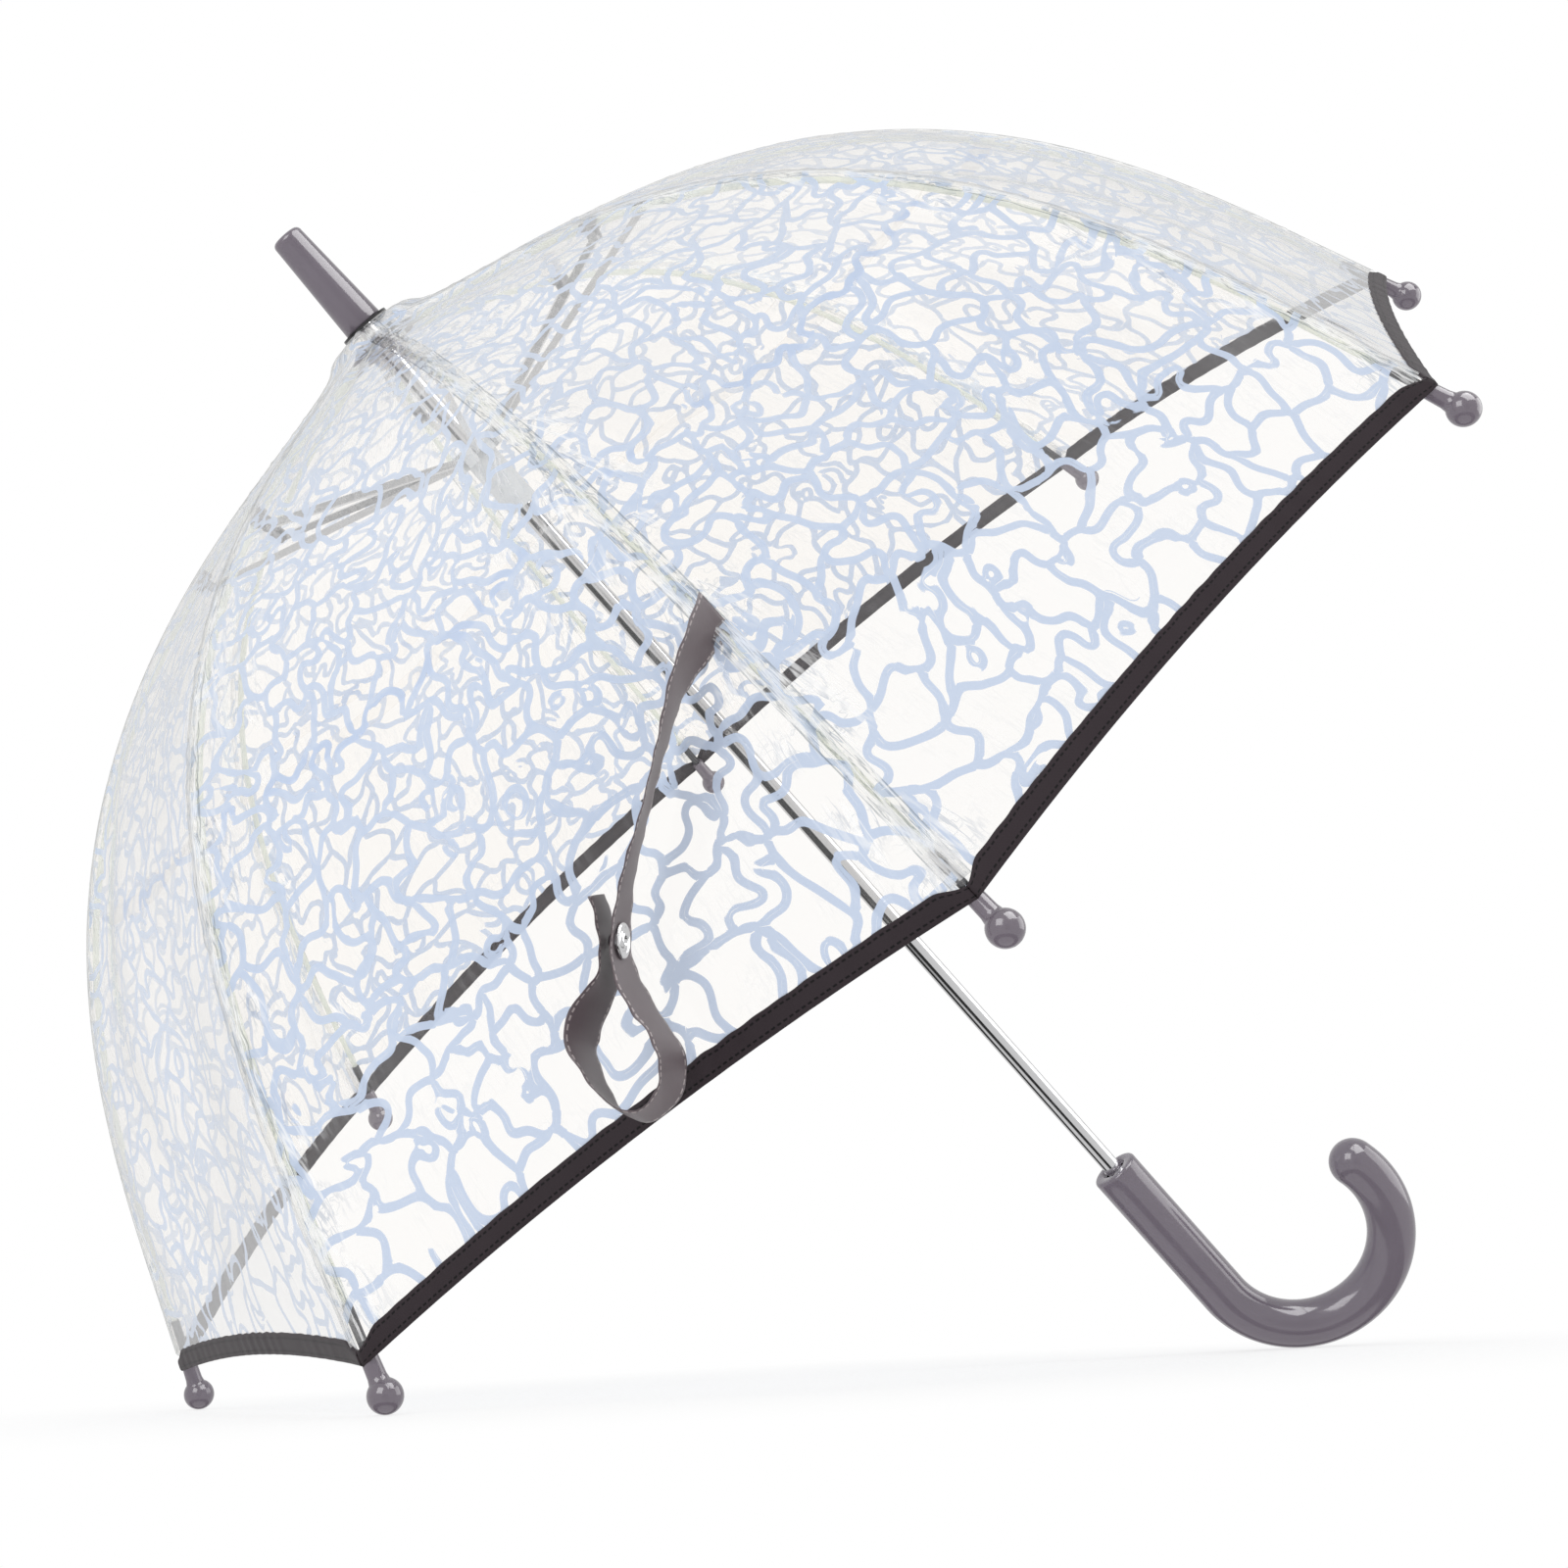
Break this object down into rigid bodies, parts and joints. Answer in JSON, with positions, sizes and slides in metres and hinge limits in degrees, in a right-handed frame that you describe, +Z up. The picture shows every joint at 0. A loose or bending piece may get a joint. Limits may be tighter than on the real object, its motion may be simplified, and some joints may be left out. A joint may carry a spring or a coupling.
{
  "type": "bubble umbrella",
  "caption": "Open dome umbrella of clear film panels on folding ribs, with a sliding runner, a ferrule, a closure strap and a curved crook handle.",
  "frame": {"origin": "on the floor, at the middle of the footprint of the open umbrella lying on two rib tips and its crook", "axes": "+Z up from the floor, +X from the ferrule end towards the crook, -Y towards the side with the closure strap"},
  "size_m": [0.5722, 0.6854, 0.535],
  "materials": {
    "clear_film": "clear flexible film with a pale blue outline print",
    "mauve_plastic": "glossy",
    "hem_fabric": "woven tape",
    "strap_fabric": "satin ribbon",
    "black_plastic": "matte",
    "runner_plastic": "glossy",
    "fibreglass": "translucent",
    "chrome": "polished",
    "steel": "plated"
  },
  "bodies": {
    "shaft": {"shaft_tube": "chrome", "ferrule": "mauve_plastic", "crown_washer": "black_plastic", "crown_notch": "black_plastic", "crown_wire": "steel", "crook_handle": "mauve_plastic", "stop_pin": "steel"},
    "runner": {"runner": "runner_plastic"},
    "top_catch": {"top_catch": "steel"},
    "bottom_catch": {"bottom_catch": "steel"},
    "rib_1_upper": {"rib_1_upper": "fibreglass"},
    "rib_1_lower": {"rib_1_lower": "fibreglass", "rib_1_tip": "mauve_plastic"},
    "stretcher_1": {"stretcher_1": "steel"},
    "panel_1": {"panel_1": "clear_film"},
    "hem_1": {"hem_1": "hem_fabric"},
    "rib_2_upper": {"rib_2_upper": "fibreglass"},
    "rib_2_lower": {"rib_2_lower": "fibreglass", "rib_2_tip": "mauve_plastic"},
    "stretcher_2": {"stretcher_2": "steel"},
    "panel_2": {"panel_2": "clear_film"},
    "hem_2": {"hem_2": "hem_fabric"},
    "rib_3_upper": {"rib_3_upper": "fibreglass"},
    "rib_3_lower": {"rib_3_lower": "fibreglass", "rib_3_tip": "mauve_plastic"},
    "stretcher_3": {"stretcher_3": "steel"},
    "panel_3": {"panel_3": "clear_film"},
    "hem_3": {"hem_3": "hem_fabric"},
    "rib_4_upper": {"rib_4_upper": "fibreglass"},
    "rib_4_lower": {"rib_4_lower": "fibreglass", "rib_4_tip": "mauve_plastic"},
    "stretcher_4": {"stretcher_4": "steel"},
    "panel_4": {"panel_4": "clear_film"},
    "hem_4": {"hem_4": "hem_fabric"},
    "rib_5_upper": {"rib_5_upper": "fibreglass"},
    "rib_5_lower": {"rib_5_lower": "fibreglass", "rib_5_tip": "mauve_plastic"},
    "stretcher_5": {"stretcher_5": "steel"},
    "panel_5": {"panel_5": "clear_film"},
    "hem_5": {"hem_5": "hem_fabric"},
    "rib_6_upper": {"rib_6_upper": "fibreglass"},
    "rib_6_lower": {"rib_6_lower": "fibreglass", "rib_6_tip": "mauve_plastic"},
    "stretcher_6": {"stretcher_6": "steel"},
    "panel_6": {"panel_6": "clear_film"},
    "hem_6": {"hem_6": "hem_fabric"},
    "rib_7_upper": {"rib_7_upper": "fibreglass"},
    "rib_7_lower": {"rib_7_lower": "fibreglass", "rib_7_tip": "mauve_plastic"},
    "stretcher_7": {"stretcher_7": "steel"},
    "panel_7": {"panel_7": "clear_film"},
    "hem_7": {"hem_7": "hem_fabric"},
    "rib_8_upper": {"rib_8_upper": "fibreglass"},
    "rib_8_lower": {"rib_8_lower": "fibreglass", "rib_8_tip": "mauve_plastic"},
    "stretcher_8": {"stretcher_8": "steel"},
    "panel_8": {"panel_8": "clear_film"},
    "hem_8": {"hem_8": "hem_fabric"},
    "strap": {"closure_strap": "strap_fabric", "strap_snap": "chrome"}
  },
  "joints": [
    {"name": "runner_slide", "type": "slide", "parent": "shaft", "child": "runner", "axis": [0.6836, 0, -0.7298], "range_m": [0, 0.17113], "deforming": ["panel_1", "panel_2", "panel_3", "panel_4", "panel_5", "panel_6", "panel_7", "panel_8", "hem_1", "hem_2", "hem_3", "hem_4", "hem_5", "hem_6", "hem_7", "hem_8", "closure_strap", "strap_snap"]},
    {"name": "rib_1_hinge", "type": "hinge", "parent": "shaft", "child": "rib_1_upper", "pos_m": [-0.18777, 0.00364, 0.43868], "axis": [-0.2793, -0.9239, -0.2616], "range_deg": [0, 65.9]},
    {"name": "rib_1_flex", "type": "hinge", "parent": "rib_1_upper", "child": "rib_1_lower", "pos_m": [-0.28322, 0.09735, 0.20961], "axis": [-0.2793, -0.9239, -0.2616], "range_deg": [-35.64, 0]},
    {"name": "stretcher_1_pivot", "type": "hinge", "parent": "rib_1_upper", "child": "stretcher_1", "pos_m": [-0.24343, 0.0471, 0.34461], "axis": [-0.2793, -0.9239, -0.2616], "range_deg": [-131.8, 0]},
    {"name": "panel_1_gather", "type": "hinge", "parent": "rib_1_upper", "child": "panel_1", "pos_m": [-0.18887, 0, 0.43765], "axis": [0.9774, 0, 0.2115], "range_deg": [0, 48.06]},
    {"name": "hem_1_gather", "type": "hinge", "parent": "rib_1_lower", "child": "hem_1", "pos_m": [-0.22521, 0, 0.75507], "axis": [0.8738, 0, 0.4864], "range_deg": [0, 22.93]},
    {"name": "rib_2_hinge", "type": "hinge", "parent": "shaft", "child": "rib_2_upper", "pos_m": [-0.18777, -0.00364, 0.43868], "axis": [0.2793, -0.9239, 0.2616], "range_deg": [0, 65.9]},
    {"name": "rib_2_flex", "type": "hinge", "parent": "rib_2_upper", "child": "rib_2_lower", "pos_m": [-0.28322, -0.09735, 0.20961], "axis": [0.2793, -0.9239, 0.2616], "range_deg": [-35.64, 0]},
    {"name": "stretcher_2_pivot", "type": "hinge", "parent": "rib_2_upper", "child": "stretcher_2", "pos_m": [-0.24343, -0.0471, 0.34461], "axis": [0.2793, -0.9239, 0.2616], "range_deg": [-131.8, 0]},
    {"name": "panel_2_gather", "type": "hinge", "parent": "rib_2_upper", "child": "panel_2", "pos_m": [-0.18667, -0.00727, 0.43971], "axis": [0.794, 0.6066, 0.0397], "range_deg": [0, 48.06]},
    {"name": "hem_2_gather", "type": "hinge", "parent": "rib_2_lower", "child": "hem_2", "pos_m": [-0.26373, 0.12741, 0.71899], "axis": [0.6664, 0.686, 0.2921], "range_deg": [0, 22.93]},
    {"name": "rib_3_hinge", "type": "hinge", "parent": "shaft", "child": "rib_3_upper", "pos_m": [-0.18402, -0.00878, 0.44219], "axis": [0.6743, -0.3827, 0.6316], "range_deg": [0, 65.9]},
    {"name": "rib_3_flex", "type": "hinge", "parent": "rib_3_upper", "child": "rib_3_lower", "pos_m": [-0.18273, -0.23503, 0.30373], "axis": [0.6743, -0.3827, 0.6316], "range_deg": [-35.64, 0]},
    {"name": "stretcher_3_pivot", "type": "hinge", "parent": "rib_3_upper", "child": "stretcher_3", "pos_m": [-0.19481, -0.1137, 0.39014], "axis": [0.6743, -0.3827, 0.6316], "range_deg": [-131.8, 0]},
    {"name": "panel_3_gather", "type": "hinge", "parent": "rib_3_upper", "child": "panel_3", "pos_m": [-0.18137, -0.01028, 0.44468], "axis": [0.3512, 0.8579, -0.375], "range_deg": [0, 48.06]},
    {"name": "hem_3_gather", "type": "hinge", "parent": "rib_3_lower", "child": "hem_3", "pos_m": [-0.35672, 0.18018, 0.63189], "axis": [0.1657, 0.9702, -0.1769], "range_deg": [0, 22.93]},
    {"name": "rib_4_hinge", "type": "hinge", "parent": "shaft", "child": "rib_4_upper", "pos_m": [-0.17871, -0.00878, 0.44716], "axis": [0.6743, 0.3827, 0.6316], "range_deg": [0, 65.9]},
    {"name": "rib_4_flex", "type": "hinge", "parent": "rib_4_upper", "child": "rib_4_lower", "pos_m": [-0.04063, -0.23503, 0.43683], "axis": [0.6743, 0.3827, 0.6316], "range_deg": [-35.64, 0]},
    {"name": "stretcher_4_pivot", "type": "hinge", "parent": "rib_4_upper", "child": "stretcher_4", "pos_m": [-0.12607, -0.1137, 0.45454], "axis": [0.6743, 0.3827, 0.6316], "range_deg": [-131.8, 0]},
    {"name": "panel_4_gather", "type": "hinge", "parent": "rib_4_upper", "child": "panel_4", "pos_m": [-0.17606, -0.00727, 0.44965], "axis": [-0.0915, 0.6066, -0.7897], "range_deg": [0, 48.06]},
    {"name": "hem_4_gather", "type": "hinge", "parent": "rib_4_lower", "child": "hem_4", "pos_m": [-0.44971, 0.12741, 0.54479], "axis": [-0.335, 0.686, -0.6458], "range_deg": [0, 22.93]},
    {"name": "rib_5_hinge", "type": "hinge", "parent": "shaft", "child": "rib_5_upper", "pos_m": [-0.17496, -0.00364, 0.45068], "axis": [0.2793, 0.9239, 0.2616], "range_deg": [0, 65.9]},
    {"name": "rib_5_flex", "type": "hinge", "parent": "rib_5_upper", "child": "rib_5_lower", "pos_m": [0.05986, -0.09735, 0.53095], "axis": [0.2793, 0.9239, 0.2616], "range_deg": [-35.64, 0]},
    {"name": "stretcher_5_pivot", "type": "hinge", "parent": "rib_5_upper", "child": "stretcher_5", "pos_m": [-0.07745, -0.0471, 0.50007], "axis": [0.2793, 0.9239, 0.2616], "range_deg": [-131.8, 0]},
    {"name": "panel_5_gather", "type": "hinge", "parent": "rib_5_upper", "child": "panel_5", "pos_m": [-0.17386, 0, 0.45171], "axis": [-0.2749, 0, -0.9615], "range_deg": [0, 48.06]},
    {"name": "hem_5_gather", "type": "hinge", "parent": "rib_5_lower", "child": "hem_5", "pos_m": [-0.48823, 0, 0.50872], "axis": [-0.5424, 0, -0.8401], "range_deg": [0, 22.93]},
    {"name": "rib_6_hinge", "type": "hinge", "parent": "shaft", "child": "rib_6_upper", "pos_m": [-0.17496, 0.00364, 0.45068], "axis": [-0.2793, 0.9239, -0.2616], "range_deg": [0, 65.9]},
    {"name": "rib_6_flex", "type": "hinge", "parent": "rib_6_upper", "child": "rib_6_lower", "pos_m": [0.05986, 0.09735, 0.53095], "axis": [-0.2793, 0.9239, -0.2616], "range_deg": [-35.64, 0]},
    {"name": "stretcher_6_pivot", "type": "hinge", "parent": "rib_6_upper", "child": "stretcher_6", "pos_m": [-0.07745, 0.0471, 0.50007], "axis": [-0.2793, 0.9239, -0.2616], "range_deg": [-131.8, 0]},
    {"name": "panel_6_gather", "type": "hinge", "parent": "rib_6_upper", "child": "panel_6", "pos_m": [-0.17606, 0.00727, 0.44965], "axis": [-0.0915, -0.6066, -0.7897], "range_deg": [0, 48.06]},
    {"name": "hem_6_gather", "type": "hinge", "parent": "rib_6_lower", "child": "hem_6", "pos_m": [-0.44971, -0.12741, 0.54479], "axis": [-0.335, -0.686, -0.6458], "range_deg": [0, 22.93]},
    {"name": "rib_7_hinge", "type": "hinge", "parent": "shaft", "child": "rib_7_upper", "pos_m": [-0.17871, 0.00878, 0.44716], "axis": [-0.6743, 0.3827, -0.6316], "range_deg": [0, 65.9]},
    {"name": "rib_7_flex", "type": "hinge", "parent": "rib_7_upper", "child": "rib_7_lower", "pos_m": [-0.04063, 0.23503, 0.43683], "axis": [-0.6743, 0.3827, -0.6316], "range_deg": [-35.64, 0]},
    {"name": "stretcher_7_pivot", "type": "hinge", "parent": "rib_7_upper", "child": "stretcher_7", "pos_m": [-0.12607, 0.1137, 0.45454], "axis": [-0.6743, 0.3827, -0.6316], "range_deg": [-131.8, 0]},
    {"name": "panel_7_gather", "type": "hinge", "parent": "rib_7_upper", "child": "panel_7", "pos_m": [-0.18137, 0.01028, 0.44468], "axis": [0.3512, -0.8579, -0.375], "range_deg": [0, 48.06]},
    {"name": "hem_7_gather", "type": "hinge", "parent": "rib_7_lower", "child": "hem_7", "pos_m": [-0.35672, -0.18018, 0.63189], "axis": [0.1657, -0.9702, -0.1769], "range_deg": [0, 22.93]},
    {"name": "rib_8_hinge", "type": "hinge", "parent": "shaft", "child": "rib_8_upper", "pos_m": [-0.18402, 0.00878, 0.44219], "axis": [-0.6743, -0.3827, -0.6316], "range_deg": [0, 65.9]},
    {"name": "rib_8_flex", "type": "hinge", "parent": "rib_8_upper", "child": "rib_8_lower", "pos_m": [-0.18273, 0.23503, 0.30373], "axis": [-0.6743, -0.3827, -0.6316], "range_deg": [-35.64, 0]},
    {"name": "stretcher_8_pivot", "type": "hinge", "parent": "rib_8_upper", "child": "stretcher_8", "pos_m": [-0.19481, 0.1137, 0.39014], "axis": [-0.6743, -0.3827, -0.6316], "range_deg": [-131.8, 0]},
    {"name": "panel_8_gather", "type": "hinge", "parent": "rib_8_upper", "child": "panel_8", "pos_m": [-0.18667, 0.00727, 0.43971], "axis": [0.794, -0.6066, 0.0397], "range_deg": [0, 48.06]},
    {"name": "hem_8_gather", "type": "hinge", "parent": "rib_8_lower", "child": "hem_8", "pos_m": [-0.26373, -0.12741, 0.71899], "axis": [0.6664, -0.686, 0.2921], "range_deg": [0, 22.93]},
    {"name": "strap_hang", "type": "hinge", "parent": "rib_3_lower", "child": "strap", "pos_m": [-0.1592, -0.28262, 0.24977], "axis": [0.6743, -0.3827, 0.6316], "range_deg": [-30.26, 0]},
    {"name": "top_catch_press", "type": "slide", "parent": "shaft", "child": "top_catch", "axis": [0, 1, 0], "range_m": [0, 0.0016], "stiffness_N_per_m": 300, "springref_m": -0.001},
    {"name": "bottom_catch_press", "type": "slide", "parent": "shaft", "child": "bottom_catch", "axis": [0, 1, 0], "range_m": [0, 0.0016], "stiffness_N_per_m": 300, "springref_m": -0.001}
  ],
  "couplings": [
    {"joint": "rib_1_hinge", "follows": "runner_slide", "rad_per_m": 6.7213},
    {"joint": "rib_1_flex", "follows": "runner_slide", "rad_per_m": -3.6353},
    {"joint": "stretcher_1_pivot", "follows": "runner_slide", "rad_per_m": -13.443},
    {"joint": "panel_1_gather", "follows": "runner_slide", "rad_per_m": 4.9012},
    {"joint": "hem_1_gather", "follows": "runner_slide", "rad_per_m": 2.3385},
    {"joint": "rib_2_hinge", "follows": "runner_slide", "rad_per_m": 6.7213},
    {"joint": "rib_2_flex", "follows": "runner_slide", "rad_per_m": -3.6353},
    {"joint": "stretcher_2_pivot", "follows": "runner_slide", "rad_per_m": -13.443},
    {"joint": "panel_2_gather", "follows": "runner_slide", "rad_per_m": 4.9012},
    {"joint": "hem_2_gather", "follows": "runner_slide", "rad_per_m": 2.3385},
    {"joint": "rib_3_hinge", "follows": "runner_slide", "rad_per_m": 6.7213},
    {"joint": "rib_3_flex", "follows": "runner_slide", "rad_per_m": -3.6353},
    {"joint": "stretcher_3_pivot", "follows": "runner_slide", "rad_per_m": -13.443},
    {"joint": "panel_3_gather", "follows": "runner_slide", "rad_per_m": 4.9012},
    {"joint": "hem_3_gather", "follows": "runner_slide", "rad_per_m": 2.3385},
    {"joint": "rib_4_hinge", "follows": "runner_slide", "rad_per_m": 6.7213},
    {"joint": "rib_4_flex", "follows": "runner_slide", "rad_per_m": -3.6353},
    {"joint": "stretcher_4_pivot", "follows": "runner_slide", "rad_per_m": -13.443},
    {"joint": "panel_4_gather", "follows": "runner_slide", "rad_per_m": 4.9012},
    {"joint": "hem_4_gather", "follows": "runner_slide", "rad_per_m": 2.3385},
    {"joint": "rib_5_hinge", "follows": "runner_slide", "rad_per_m": 6.7213},
    {"joint": "rib_5_flex", "follows": "runner_slide", "rad_per_m": -3.6353},
    {"joint": "stretcher_5_pivot", "follows": "runner_slide", "rad_per_m": -13.443},
    {"joint": "panel_5_gather", "follows": "runner_slide", "rad_per_m": 4.9012},
    {"joint": "hem_5_gather", "follows": "runner_slide", "rad_per_m": 2.3385},
    {"joint": "rib_6_hinge", "follows": "runner_slide", "rad_per_m": 6.7213},
    {"joint": "rib_6_flex", "follows": "runner_slide", "rad_per_m": -3.6353},
    {"joint": "stretcher_6_pivot", "follows": "runner_slide", "rad_per_m": -13.443},
    {"joint": "panel_6_gather", "follows": "runner_slide", "rad_per_m": 4.9012},
    {"joint": "hem_6_gather", "follows": "runner_slide", "rad_per_m": 2.3385},
    {"joint": "rib_7_hinge", "follows": "runner_slide", "rad_per_m": 6.7213},
    {"joint": "rib_7_flex", "follows": "runner_slide", "rad_per_m": -3.6353},
    {"joint": "stretcher_7_pivot", "follows": "runner_slide", "rad_per_m": -13.443},
    {"joint": "panel_7_gather", "follows": "runner_slide", "rad_per_m": 4.9012},
    {"joint": "hem_7_gather", "follows": "runner_slide", "rad_per_m": 2.3385},
    {"joint": "rib_8_hinge", "follows": "runner_slide", "rad_per_m": 6.7213},
    {"joint": "rib_8_flex", "follows": "runner_slide", "rad_per_m": -3.6353},
    {"joint": "stretcher_8_pivot", "follows": "runner_slide", "rad_per_m": -13.443},
    {"joint": "panel_8_gather", "follows": "runner_slide", "rad_per_m": 4.9012},
    {"joint": "hem_8_gather", "follows": "runner_slide", "rad_per_m": 2.3385},
    {"joint": "strap_hang", "follows": "runner_slide", "rad_per_m": -3.086}
  ]
}
